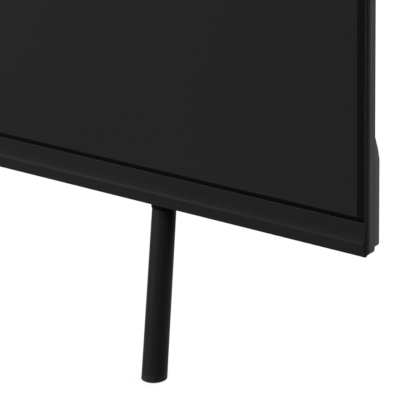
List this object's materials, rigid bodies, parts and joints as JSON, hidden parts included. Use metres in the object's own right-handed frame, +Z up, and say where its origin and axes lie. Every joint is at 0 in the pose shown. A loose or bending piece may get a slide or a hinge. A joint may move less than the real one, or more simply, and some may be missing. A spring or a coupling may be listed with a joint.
{
  "type": "flat screen tv",
  "caption": "Flat screen television with a thin black border, a creased chin bar and a stepped rear housing, standing on round splayed peg legs.",
  "frame": {"origin": "centre of the bounding box in plan, on the floor under the feet", "axes": "+X to the viewer's right along the screen, +Y from the screen to the back, +Z up"},
  "size_m": [1.226, 0.1552, 0.8534],
  "materials": {
    "screen_glass": "low gloss, black",
    "dark_aluminium": "anodised dark grey",
    "satin_black_plastic": "satin",
    "black_plastic": "fine texture",
    "clear_film": "translucent sheet",
    "white_film": "white sheet",
    "clear_acrylic": "polished clear sheet",
    "bare_aluminium": "mill finish",
    "charcoal_coated_aluminium": "charcoal powder coat",
    "charcoal_plastic": "fine texture",
    "circuit_board": "solder mask",
    "power_circuit_board": "bare laminate",
    "chip_resin": "moulded resin",
    "ferrite_and_tape": "taped winding",
    "capacitor_sleeve": "sleeved can",
    "ribbon_film": "flat cable",
    "zinc_plated_steel": "zinc plated",
    "black_steel": "black coated",
    "brass": "plated",
    "speaker_paper": "paper cone",
    "foam_rubber": "closed-cell foam",
    "smoked_plastic": "dark infrared window",
    "black_rubber": "matt"
  },
  "bodies": {
    "set": {"front_frame": "dark_aluminium", "chin_bar": "satin_black_plastic", "lcd_cell": "screen_glass", "mid_frame": "black_plastic", "prism_sheet": "clear_film", "diffuser_sheet": "white_film", "light_guide": "clear_acrylic", "reflector_sheet": "white_film", "led_strip": "white_film", "led_bar": "bare_aluminium", "back_chassis": "charcoal_coated_aluminium", "panel_boards": "circuit_board", "ir_board": "circuit_board", "ir_window": "smoked_plastic", "main_board": "circuit_board", "main_chips": "chip_resin", "main_heatsink": "bare_aluminium", "power_board": "power_circuit_board", "power_transformers": "ferrite_and_tape", "power_capacitors": "capacitor_sleeve", "tcon_board": "circuit_board", "picture_ribbon": "ribbon_film", "power_harness": "ribbon_film", "board_standoffs": "zinc_plated_steel", "board_screws": "zinc_plated_steel", "terminal_plate": "zinc_plated_steel", "hdmi_sockets": "zinc_plated_steel", "usb_sockets": "zinc_plated_steel", "lan_socket": "zinc_plated_steel", "antenna_socket": "brass", "power_inlet": "black_plastic", "inlet_pins": "brass", "inlet_recess": "charcoal_plastic", "left_speaker_box": "black_plastic", "right_speaker_box": "black_plastic", "left_speaker_driver": "black_steel", "right_speaker_driver": "black_steel", "speaker_gaskets": "foam_rubber", "rear_housing": "charcoal_plastic", "housing_screws": "black_steel", "vesa_posts": "zinc_plated_steel", "control_base": "black_plastic", "front_left_leg": "black_steel", "front_right_leg": "black_steel", "rear_left_leg": "black_steel", "rear_right_leg": "black_steel", "front_left_foot": "black_rubber", "front_right_foot": "black_rubber", "rear_left_foot": "black_rubber", "rear_right_foot": "black_rubber", "front_leg_brackets": "black_steel", "rear_leg_brackets": "black_steel", "leg_studs": "zinc_plated_steel", "bracket_screws": "zinc_plated_steel"},
    "control_plunger": {"control_plunger": "black_plastic"},
    "control_ring": {"control_ring": "black_plastic"},
    "control_stick": {"control_stick": "satin_black_plastic"},
    "left_cone": {"left_speaker_cone": "speaker_paper"},
    "right_cone": {"right_speaker_cone": "speaker_paper"}
  },
  "joints": [
    {"name": "control_press", "type": "slide", "parent": "set", "child": "control_plunger", "axis": [0, 0, 1], "range_m": [0, 0.0008], "stiffness_N_per_m": 900},
    {"name": "control_nod", "type": "hinge", "parent": "control_plunger", "child": "control_ring", "pos_m": [0, 0.005, 0.1465], "axis": [1, 0, 0], "range_deg": [-7, 7], "stiffness_Nm_per_rad": 0.02},
    {"name": "control_sway", "type": "hinge", "parent": "control_ring", "child": "control_stick", "pos_m": [0, 0.005, 0.1465], "axis": [0, 1, 0], "range_deg": [-7, 7], "stiffness_Nm_per_rad": 0.02},
    {"name": "left_cone_stroke", "type": "slide", "parent": "set", "child": "left_cone", "axis": [0, 0, 1], "range_m": [-0.0015, 0.0015], "stiffness_N_per_m": 600},
    {"name": "right_cone_stroke", "type": "slide", "parent": "set", "child": "right_cone", "axis": [0, 0, 1], "range_m": [-0.0015, 0.0015], "stiffness_N_per_m": 600}
  ]
}
